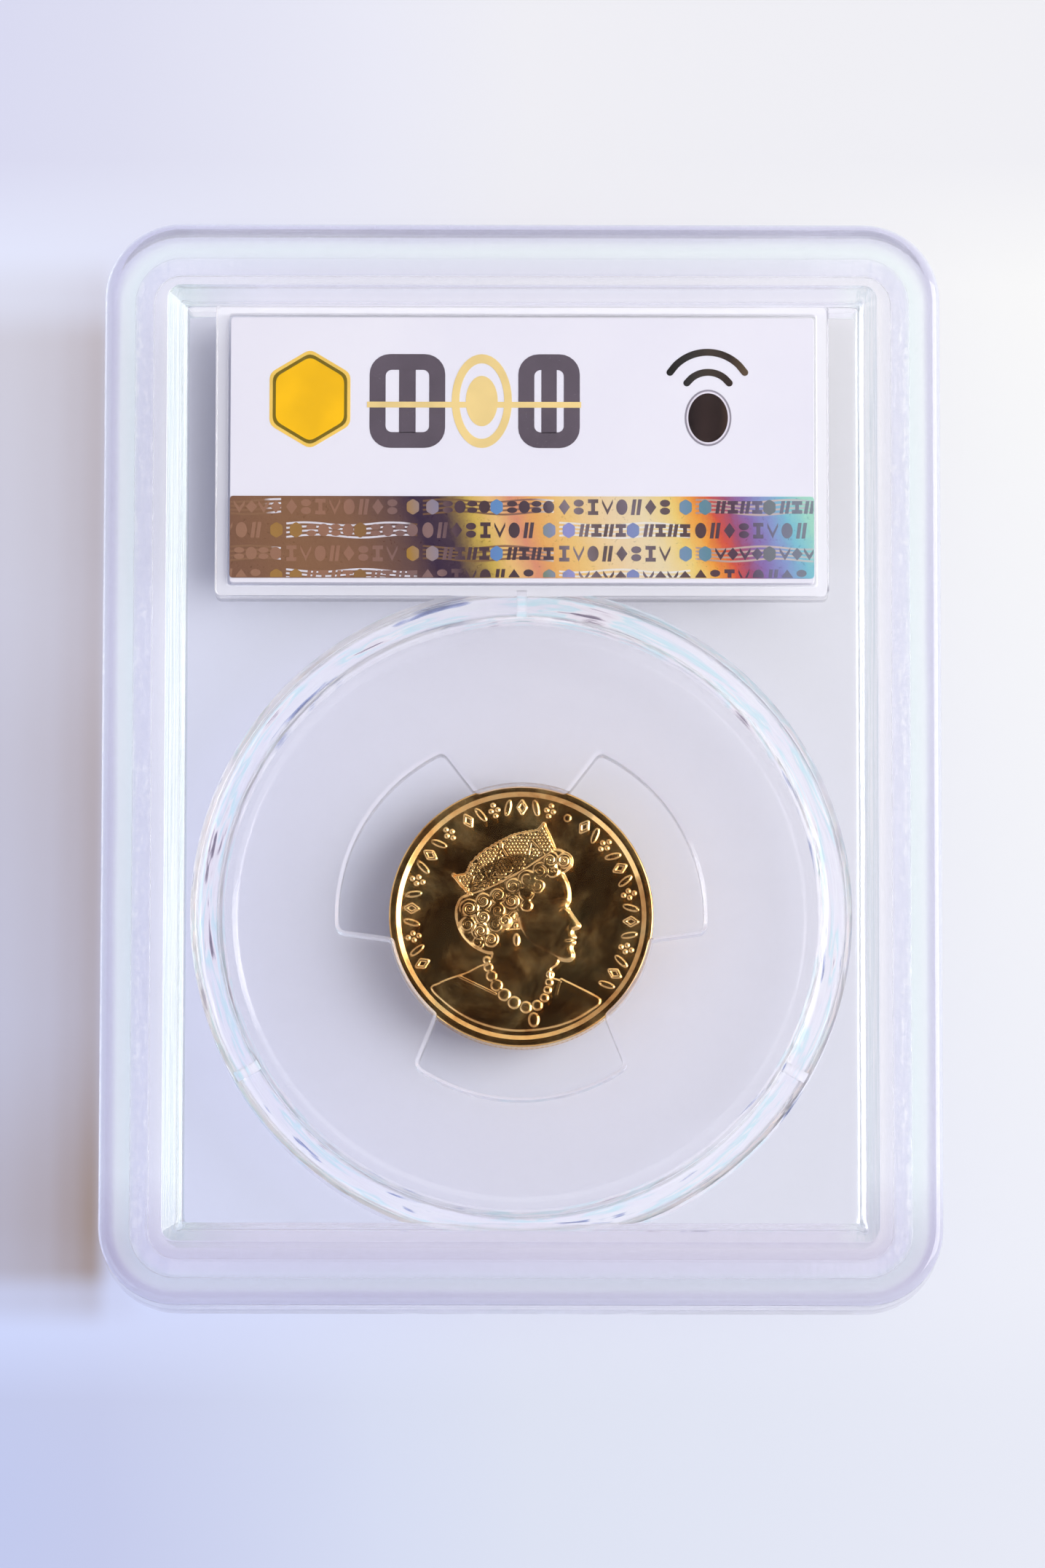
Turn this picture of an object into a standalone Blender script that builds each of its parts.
"""Graded coin slab: two welded clear shells round a keyed insert, a coin, a label and a tag.

The slab lies on its front face with the rear face up. Metres, +Z up, +Y to the label end.
The origin is the centre of the slab's footprint, on the surface it lies on.
"""
import math

import bmesh
import bpy

MM = 0.001

# Case
WIDTH = 65.0 * MM
HEIGHT = 84.6 * MM
THICK = 8.0 * MM
MID = THICK / 2.0
CORNER_R = 6.0 * MM
EDGE_R = 0.8 * MM
RIM_W = 4.9 * MM
RIM_SLOPE = 1.5 * MM
FACE_RECESS = 1.2 * MM
PLATE_T = 1.3 * MM
CAVITY_IN = 5.2 * MM
CAVITY_DRAFT = 0.3 * MM
PART_GAP = 0.05 * MM

# Weld joint: a tongue on the front shell in a groove in the rear shell
GROOVE_FROM = 2.3 * MM
GROOVE_TO = 3.8 * MM
GROOVE_DEPTH = 0.35 * MM
TONGUE_CLEAR = 0.2 * MM
TONGUE_RISE = 0.25 * MM

# Coin well and insert
WELL_Y = -11.8 * MM
RING_OUT_R = 25.15 * MM
RING_IN_R = 23.45 * MM
INSERT_R = 23.3 * MM
INSERT_WALL_R = 22.4 * MM
INSERT_T = 2.8 * MM
WEB_T = 2.5 * MM
WINDOW_R = 14.1 * MM
PRONG_R = 9.9 * MM
PRONG_TIP_HALF = 20.3
PRONG_GROOVE_R = 10.4 * MM
PRONG_GROOVE_GAP = 0.08 * MM
PRONG_ROOT_HALF = 25.6
PRONG_ANGLES = (90.0, 210.0, 330.0)
KEY_W = 0.6 * MM
KEY_CLEAR = 0.1 * MM
REAR_KEYS = (90.0, 210.0, 330.0)
FRONT_KEYS = (270.0,)
ROUND_STEPS = 96

# Coin
COIN_R = 10.25 * MM
COIN_T = 1.9 * MM
COIN_RIM_R = 9.67 * MM
COIN_FIELD = 0.25 * MM
LEGEND_R = 8.5 * MM
LEGEND_H = 1.25 * MM
LEGEND_RISE = 0.12 * MM

# Label well and the sheets in it
LABEL_W = 45.5 * MM
LABEL_H = 21.0 * MM
LABEL_Y = 24.85 * MM
LABEL_T = 0.25 * MM
BLOCK_W = 47.74 * MM
BLOCK_Y0 = 13.2 * MM
BLOCK_Y1 = 36.4 * MM
POCKET_W = 45.8 * MM
POCKET_Y0 = 14.1 * MM
POCKET_Y1 = 35.6 * MM
POCKET_DEPTH = 0.45 * MM
FOIL_H = 6.46 * MM
FOIL_Y = 17.95 * MM
FOIL_T = 0.03 * MM
FILM_W = 36.0 * MM
FILM_H = 16.0 * MM
FILM_T = 0.08 * MM
COIL_W = 0.5 * MM
COIL_PITCH = 1.1 * MM
COIL_TURNS = 4
COIL_T = 0.03 * MM
CHIP_SIZE = 1.6 * MM
CHIP_T = 0.1 * MM


def clear_scene():
    for obj in list(bpy.data.objects):
        bpy.data.objects.remove(obj, do_unlink=True)
    for collection in list(bpy.data.collections):
        bpy.data.collections.remove(collection)


def make_collection(name):
    collection = bpy.data.collections.new(name)
    bpy.context.scene.collection.children.link(collection)
    return collection


def make_material(name, color, metallic, roughness, alpha=1.0):
    material = bpy.data.materials.new(name)
    material.use_nodes = True
    shader = material.node_tree.nodes["Principled BSDF"]
    shader.inputs["Base Color"].default_value = (*color, 1.0)
    shader.inputs["Metallic"].default_value = metallic
    shader.inputs["Roughness"].default_value = roughness
    shader.inputs["Alpha"].default_value = alpha
    return material


def add_object(name, mesh_bm, collection, material=None):
    bmesh.ops.recalc_face_normals(mesh_bm, faces=mesh_bm.faces)
    mesh = bpy.data.meshes.new(name)
    mesh_bm.to_mesh(mesh)
    mesh_bm.free()
    obj = bpy.data.objects.new(name, mesh)
    collection.objects.link(obj)
    if material is not None:
        obj.data.materials.append(material)
    return obj


def mark_cutter(obj):
    obj.hide_render = True
    obj.display_type = "WIRE"
    return obj


def boolean(obj, operand, operation, overlaps=False):
    mod = obj.modifiers.new(operand.name, "BOOLEAN")
    mod.object = operand
    mod.operation = operation
    mod.solver = "EXACT"
    mod.use_self = overlaps
    mod.show_render = mod.show_viewport


# Outlines

def rounded_rectangle(half_x, half_y, radius, steps=8):
    """Points anticlockwise round a rectangle with round corners."""
    points = []
    corners = ((1, 1, 0), (-1, 1, 90), (-1, -1, 180), (1, -1, 270))
    for sign_x, sign_y, start in corners:
        centre_x = sign_x * (half_x - radius)
        centre_y = sign_y * (half_y - radius)
        for step in range(steps + 1):
            angle = math.radians(start + 90.0 * step / steps)
            x = centre_x + radius * math.cos(angle)
            y = centre_y + radius * math.sin(angle)
            points.append((x, y))
    return points


def case_loop(inset):
    radius = max(CORNER_R - inset, 0.5 * MM)
    return rounded_rectangle(WIDTH / 2 - inset, HEIGHT / 2 - inset, radius)


def opening_outline():
    """The hole in the insert: three prong tips with an edge window between each pair."""
    points = []
    for angle in PRONG_ANGLES:
        tip_from = angle - PRONG_TIP_HALF
        for step in range(9):
            points.append(polar(PRONG_R, tip_from + 2 * PRONG_TIP_HALF * step / 8))
        window_from = angle + PRONG_ROOT_HALF
        window_span = 120.0 - 2 * PRONG_ROOT_HALF
        for step in range(17):
            points.append(polar(WINDOW_R, window_from + window_span * step / 16))
    return points


def polar(radius, degrees):
    angle = math.radians(degrees)
    return (radius * math.cos(angle), radius * math.sin(angle) + WELL_Y)


# Solids

def loft(loops):
    """A closed solid through loops of equal length; the first and last are capped."""
    mesh_bm = bmesh.new()
    rings = []
    for loop, z in loops:
        rings.append([mesh_bm.verts.new((x, y, z)) for x, y in loop])
    count = len(rings[0])
    for low, high in zip(rings, rings[1:]):
        for i in range(count):
            j = (i + 1) % count
            mesh_bm.faces.new((low[i], low[j], high[j], high[i]))
    mesh_bm.faces.new(rings[0])
    mesh_bm.faces.new(rings[-1])
    return mesh_bm


def prism(outline, z0, z1):
    return loft(((outline, z0), (outline, z1)))


def box(mesh_bm, centre, size, turn=0.0, pivot_y=0.0):
    """A cuboid, turned about the vertical line at (0, pivot_y)."""
    made = bmesh.ops.create_cube(mesh_bm, size=1.0)["verts"]
    bmesh.ops.scale(mesh_bm, vec=size, verts=made)
    bmesh.ops.translate(mesh_bm, vec=centre, verts=made)
    cos_t = math.cos(math.radians(turn))
    sin_t = math.sin(math.radians(turn))
    for vert in made:
        x = vert.co.x
        y = vert.co.y
        vert.co.x = x * cos_t - y * sin_t
        vert.co.y = x * sin_t + y * cos_t + pivot_y
    return made


def revolve(name, profile, collection, material=None, steps=ROUND_STEPS):
    """A Screw body about the well axis; a profile that starts on the axis ends there."""
    mesh_bm = bmesh.new()
    verts = [mesh_bm.verts.new((radius, 0.0, height)) for radius, height in profile]
    following = verts[1:] if profile[0][0] == 0.0 else verts[1:] + verts[:1]
    for first, second in zip(verts, following):
        mesh_bm.edges.new((first, second))
    mesh = bpy.data.meshes.new(name)
    mesh_bm.to_mesh(mesh)
    mesh_bm.free()
    obj = bpy.data.objects.new(name, mesh)
    obj.location.y = WELL_Y
    collection.objects.link(obj)
    mod = obj.modifiers.new("turn", "SCREW")
    mod.steps = steps
    mod.render_steps = steps
    mod.use_merge_vertices = True
    mod.merge_threshold = 0.00001
    if material is not None:
        obj.data.materials.append(material)
    return obj


# Shells

def shell_loops(side, weld_width_gap, weld_step):
    """Loops of one shell, from its sunk outer face round the rim to its inner face.

    side is +1 for the rear shell and -1 for the front one. weld_step is how far the
    weld band steps along +Z from the parting face.
    """
    def at(inset, height):
        return (case_loop(inset), MID + side * height)

    half = THICK / 2
    face = half - FACE_RECESS
    ceiling = face - PLATE_T
    lip = EDGE_R * (1 - math.cos(math.radians(45)))
    band_from = GROOVE_FROM + weld_width_gap
    band_to = GROOVE_TO - weld_width_gap
    parting = MID + side * PART_GAP
    weld = parting + weld_step
    return [
        at(RIM_W + RIM_SLOPE, face),
        at(RIM_W, half),
        at(EDGE_R, half),
        at(lip, half - lip),
        at(0.0, half - EDGE_R),
        (case_loop(0.0), parting),
        (case_loop(band_from), parting),
        (case_loop(band_from + 0.05 * MM), weld),
        (case_loop(band_to - 0.05 * MM), weld),
        (case_loop(band_to), parting),
        (case_loop(CAVITY_IN), parting),
        at(CAVITY_IN + CAVITY_DRAFT, ceiling),
    ]


def ceiling_z(side):
    return MID + side * (THICK / 2 - FACE_RECESS - PLATE_T)


def well_ring(name, side, cutters):
    """The round wall inside a shell that the insert drops into."""
    top = MID + side * PART_GAP
    root = ceiling_z(side) + side * 0.3 * MM
    high = max(top, root)
    low = min(top, root)
    profile = [(RING_OUT_R, high), (RING_OUT_R, low), (RING_IN_R, low), (RING_IN_R, high)]
    return mark_cutter(revolve(name, profile, cutters))


def key_slots(name, side, angles, cutters):
    mesh_bm = bmesh.new()
    low = -0.5 * MM
    high = THICK / 2 - FACE_RECESS - PLATE_T - 0.2 * MM
    centre_z = MID + side * (low + high) / 2
    length = RING_OUT_R - RING_IN_R + 0.6 * MM
    size = (length, KEY_W + 2 * KEY_CLEAR, high - low)
    centre = ((RING_OUT_R + RING_IN_R) / 2, 0.0, centre_z)
    for angle in angles:
        box(mesh_bm, centre, size, angle, WELL_Y)
    return mark_cutter(add_object(name, mesh_bm, cutters))


def label_block(name, side, cutters):
    """The thick part of a shell behind the label, proud of the inner face."""
    mesh_bm = bmesh.new()
    top = PART_GAP
    root = THICK / 2 - FACE_RECESS - PLATE_T + 0.3 * MM
    centre = (0.0, (BLOCK_Y0 + BLOCK_Y1) / 2, MID + side * (top + root) / 2)
    box(mesh_bm, centre, (BLOCK_W, BLOCK_Y1 - BLOCK_Y0, root - top))
    return mark_cutter(add_object(name, mesh_bm, cutters))


def label_pocket(name, side, cutters):
    mesh_bm = bmesh.new()
    low = -0.5 * MM
    high = PART_GAP + POCKET_DEPTH
    centre = (0.0, (POCKET_Y0 + POCKET_Y1) / 2, MID + side * (low + high) / 2)
    box(mesh_bm, centre, (POCKET_W, POCKET_Y1 - POCKET_Y0, high - low))
    return mark_cutter(add_object(name, mesh_bm, cutters))


def make_shell(name, side, weld_width_gap, weld_step, keys, parts, cutters):
    mesh_bm = loft(shell_loops(side, weld_width_gap, weld_step))
    material = make_material(name, (0.86, 0.87, 0.93), 0.0, 0.05, 0.35)
    shell = add_object(name, mesh_bm, parts, material)
    boolean(shell, label_block(name + "_block", side, cutters), "UNION")
    boolean(shell, well_ring(name + "_ring", side, cutters), "UNION")
    boolean(shell, label_pocket(name + "_pocket", side, cutters), "DIFFERENCE")
    boolean(shell, key_slots(name + "_slots", side, keys, cutters), "DIFFERENCE")
    return shell


# Insert and coin

def make_insert(parts, cutters):
    """The clear ring with three grooved prongs that hold the coin by its edge."""
    high = MID + INSERT_T / 2
    low = MID - INSERT_T / 2
    web_high = MID + WEB_T / 2
    web_low = MID - WEB_T / 2
    inner = 9.0 * MM
    slope = 0.4 * MM
    profile = [
        (inner, web_high),
        (INSERT_WALL_R - slope, web_high),
        (INSERT_WALL_R, high),
        (INSERT_R, high),
        (INSERT_R, low),
        (INSERT_WALL_R, low),
        (INSERT_WALL_R - slope, web_low),
        (inner, web_low),
    ]
    material = make_material("insert", (0.84, 0.84, 0.9), 0.0, 0.08, 0.35)
    insert = revolve("coin_insert", profile, parts, material)
    mesh_bm = prism(opening_outline(), 0.0, THICK)
    opening = mark_cutter(add_object("insert_opening", mesh_bm, cutters))
    boolean(insert, opening, "DIFFERENCE")
    boolean(insert, prong_groove(cutters), "DIFFERENCE")
    boolean(insert, insert_keys(cutters), "UNION")
    return insert


def prong_groove(cutters):
    """The slot that the coin's edge sits in, cut across all three prongs."""
    high = MID + COIN_T / 2 + PRONG_GROOVE_GAP
    low = MID - COIN_T / 2 - PRONG_GROOVE_GAP
    inner = 8.5 * MM
    profile = [(inner, high), (PRONG_GROOVE_R, high), (PRONG_GROOVE_R, low), (inner, low)]
    return mark_cutter(revolve("prong_groove", profile, cutters))


def insert_keys(cutters):
    mesh_bm = bmesh.new()
    low = 0.2 * MM
    high = INSERT_T / 2 - 0.3 * MM
    outer = RING_OUT_R - 0.1 * MM
    inner = INSERT_R - 0.4 * MM
    size = (outer - inner, KEY_W, high - low)
    for side, angles in ((1, REAR_KEYS), (-1, FRONT_KEYS)):
        centre = ((outer + inner) / 2, 0.0, MID + side * (low + high) / 2)
        for angle in angles:
            box(mesh_bm, centre, size, angle, WELL_Y)
    return mark_cutter(add_object("insert_keys", mesh_bm, cutters))


def make_coin(parts, cutters):
    high = MID + COIN_T / 2
    low = MID - COIN_T / 2
    bevel = 0.15 * MM
    slope = 0.12 * MM
    profile = [
        (0.0, high - COIN_FIELD),
        (COIN_RIM_R - slope, high - COIN_FIELD),
        (COIN_RIM_R, high),
        (COIN_R - bevel, high),
        (COIN_R, high - bevel),
        (COIN_R, low + bevel),
        (COIN_R - bevel, low),
        (COIN_RIM_R, low),
        (COIN_RIM_R - slope, low + COIN_FIELD),
        (0.0, low + COIN_FIELD),
    ]
    material = make_material("coin", (0.72, 0.5, 0.22), 1.0, 0.25)
    coin = revolve("coin", profile, parts, material)
    boolean(coin, coin_bust(high - COIN_FIELD, cutters), "UNION", True)
    boolean(coin, coin_rosette(low + COIN_FIELD, cutters), "UNION", True)
    boolean(coin, coin_legend(high - COIN_FIELD, cutters), "UNION")
    return coin


def dome(mesh_bm, x, y, z, size_x, size_y, rise, turn=0.0):
    """A low oval mound centred on a coin field."""
    made = bmesh.ops.create_uvsphere(mesh_bm, u_segments=20, v_segments=6, radius=1.0)
    verts = made["verts"]
    cos_t = math.cos(math.radians(turn))
    sin_t = math.sin(math.radians(turn))
    for vert in verts:
        flat_x = vert.co.x * size_x
        flat_y = vert.co.y * size_y
        vert.co.x = flat_x * cos_t - flat_y * sin_t + x
        vert.co.y = flat_x * sin_t + flat_y * cos_t + y + WELL_Y
        vert.co.z = vert.co.z * rise + z
    return verts


def coin_bust(field, cutters):
    """A plain draped bust in low relief: shoulders, neck, hair, head and circlet."""
    mesh_bm = bmesh.new()
    shapes = (
        (0.0, -4.6, 6.4, 2.6, 0.14, 0.0),
        (-0.9, -2.0, 1.7, 3.0, 0.17, 0.0),
        (-1.9, 1.2, 2.6, 2.5, 0.19, 0.0),
        (-0.2, 1.4, 2.1, 2.9, 0.21, 0.0),
        (-1.6, 3.9, 3.2, 1.2, 0.16, -18.0),
    )
    for x, y, size_x, size_y, rise, turn in shapes:
        dome(mesh_bm, x * MM, y * MM, field, size_x * MM, size_y * MM, rise * MM, turn)
    return mark_cutter(add_object("coin_bust", mesh_bm, cutters))


def coin_rosette(field, cutters):
    """The unseen face of the coin: a flower of six petals."""
    mesh_bm = bmesh.new()
    for step in range(6):
        angle = 60.0 * step
        x = 3.6 * MM * math.cos(math.radians(angle))
        y = 3.6 * MM * math.sin(math.radians(angle))
        dome(mesh_bm, x, y, field, 2.4 * MM, 1.3 * MM, 0.18 * MM, angle)
    return mark_cutter(add_object("coin_rosette", mesh_bm, cutters))


def coin_legend(field, cutters):
    """Short bars round the coin where a legend would run."""
    mesh_bm = bmesh.new()
    size = (LEGEND_H, 0.45 * MM, LEGEND_RISE + 0.2 * MM)
    centre = (LEGEND_R, 0.0, field + LEGEND_RISE - size[2] / 2)
    groups = ((206.0, 131.0, 10), (119.0, 75.0, 6), (54.0, -38.0, 12))
    for first, last, count in groups:
        for step in range(count):
            angle = first + (last - first) * step / (count - 1)
            box(mesh_bm, centre, size, angle, WELL_Y)
    return mark_cutter(add_object("coin_legend", mesh_bm, cutters))


# Sheets in the label well

def make_sheet(name, width, height, centre_y, z0, thickness, parts, material):
    mesh_bm = bmesh.new()
    box(mesh_bm, (0.0, centre_y, z0 + thickness / 2), (width, height, thickness))
    return add_object(name, mesh_bm, parts, material)


def coil_path():
    """Corner points of a rectangular spiral, from the outside in."""
    half_x = FILM_W / 2 - 0.8 * MM
    half_y = FILM_H / 2 - 0.8 * MM
    points = []
    for turn in range(COIL_TURNS):
        x = half_x - turn * COIL_PITCH
        y = half_y - turn * COIL_PITCH
        start_y = y if turn == 0 else y + COIL_PITCH
        points.append((-x, start_y) if turn == 0 else (-x - COIL_PITCH, y))
        points += [(x, y), (x, -y), (-x, -y)]
    points.append((points[-1][0], 0.0))
    return points


def make_coil(z0, parts, material):
    """A flat strip along the spiral, mitred at the corners."""
    path = coil_path()
    mesh_bm = bmesh.new()
    pairs = []
    for i, (x, y) in enumerate(path):
        before = path[max(i - 1, 0)]
        after = path[min(i + 1, len(path) - 1)]
        side = mitre(before, (x, y), after)
        left = (x + side[0], y + side[1] + LABEL_Y, z0)
        right = (x - side[0], y - side[1] + LABEL_Y, z0)
        pairs.append((mesh_bm.verts.new(left), mesh_bm.verts.new(right)))
    for (left_a, right_a), (left_b, right_b) in zip(pairs, pairs[1:]):
        mesh_bm.faces.new((left_a, right_a, right_b, left_b))
    made = bmesh.ops.extrude_face_region(mesh_bm, geom=list(mesh_bm.faces))
    raised = [item for item in made["geom"] if isinstance(item, bmesh.types.BMVert)]
    bmesh.ops.translate(mesh_bm, vec=(0.0, 0.0, COIL_T), verts=raised)
    return add_object("tag_coil", mesh_bm, parts, material)


def mitre(before, here, after):
    """Half a strip's width, square to the path, lengthened at a corner."""
    def unit(start, end):
        dx = end[0] - start[0]
        dy = end[1] - start[1]
        length = math.hypot(dx, dy)
        return (dx / length, dy / length) if length else None

    into = unit(before, here)
    out = unit(here, after)
    into = into or out
    out = out or into
    normal = (-(into[1] + out[1]), into[0] + out[0])
    scale = 1.0 / (1.0 + into[0] * out[0] + into[1] * out[1])
    return (normal[0] * scale * COIL_W / 2, normal[1] * scale * COIL_W / 2)


def make_label_stack(parts):
    card = (0.93, 0.93, 0.96)
    z = MID - 0.45 * MM
    make_sheet("front_label", LABEL_W, LABEL_H, LABEL_Y, z, LABEL_T, parts,
               make_material("front_label", card, 0.0, 0.5))
    z += LABEL_T + 0.05 * MM
    make_sheet("tag_film", FILM_W, FILM_H, LABEL_Y, z, FILM_T, parts,
               make_material("tag_film", (0.8, 0.82, 0.78), 0.0, 0.3))
    z += FILM_T + 0.03 * MM
    make_coil(z, parts, make_material("tag_coil", (0.8, 0.42, 0.2), 1.0, 0.35))
    make_sheet("tag_chip", CHIP_SIZE, CHIP_SIZE, LABEL_Y, z, CHIP_T, parts,
               make_material("tag_chip", (0.04, 0.04, 0.045), 0.0, 0.4))
    z += CHIP_T + 0.03 * MM
    make_sheet("rear_label", LABEL_W, LABEL_H, LABEL_Y, z, LABEL_T, parts,
               make_material("rear_label", card, 0.0, 0.5))
    z += LABEL_T + 0.03 * MM
    make_sheet("security_foil", LABEL_W, FOIL_H, FOIL_Y, z, FOIL_T, parts,
               make_material("security_foil", (0.75, 0.68, 0.6), 1.0, 0.2))


def main():
    clear_scene()
    parts = make_collection("graded_coin_slab")
    cutters = make_collection("cutters")
    groove = GROOVE_DEPTH
    tongue = TONGUE_RISE
    make_shell("rear_shell", 1, 0.0, groove, REAR_KEYS, parts, cutters)
    make_shell("front_shell", -1, TONGUE_CLEAR, tongue, FRONT_KEYS, parts, cutters)
    make_insert(parts, cutters)
    make_coin(parts, cutters)
    make_label_stack(parts)


main()
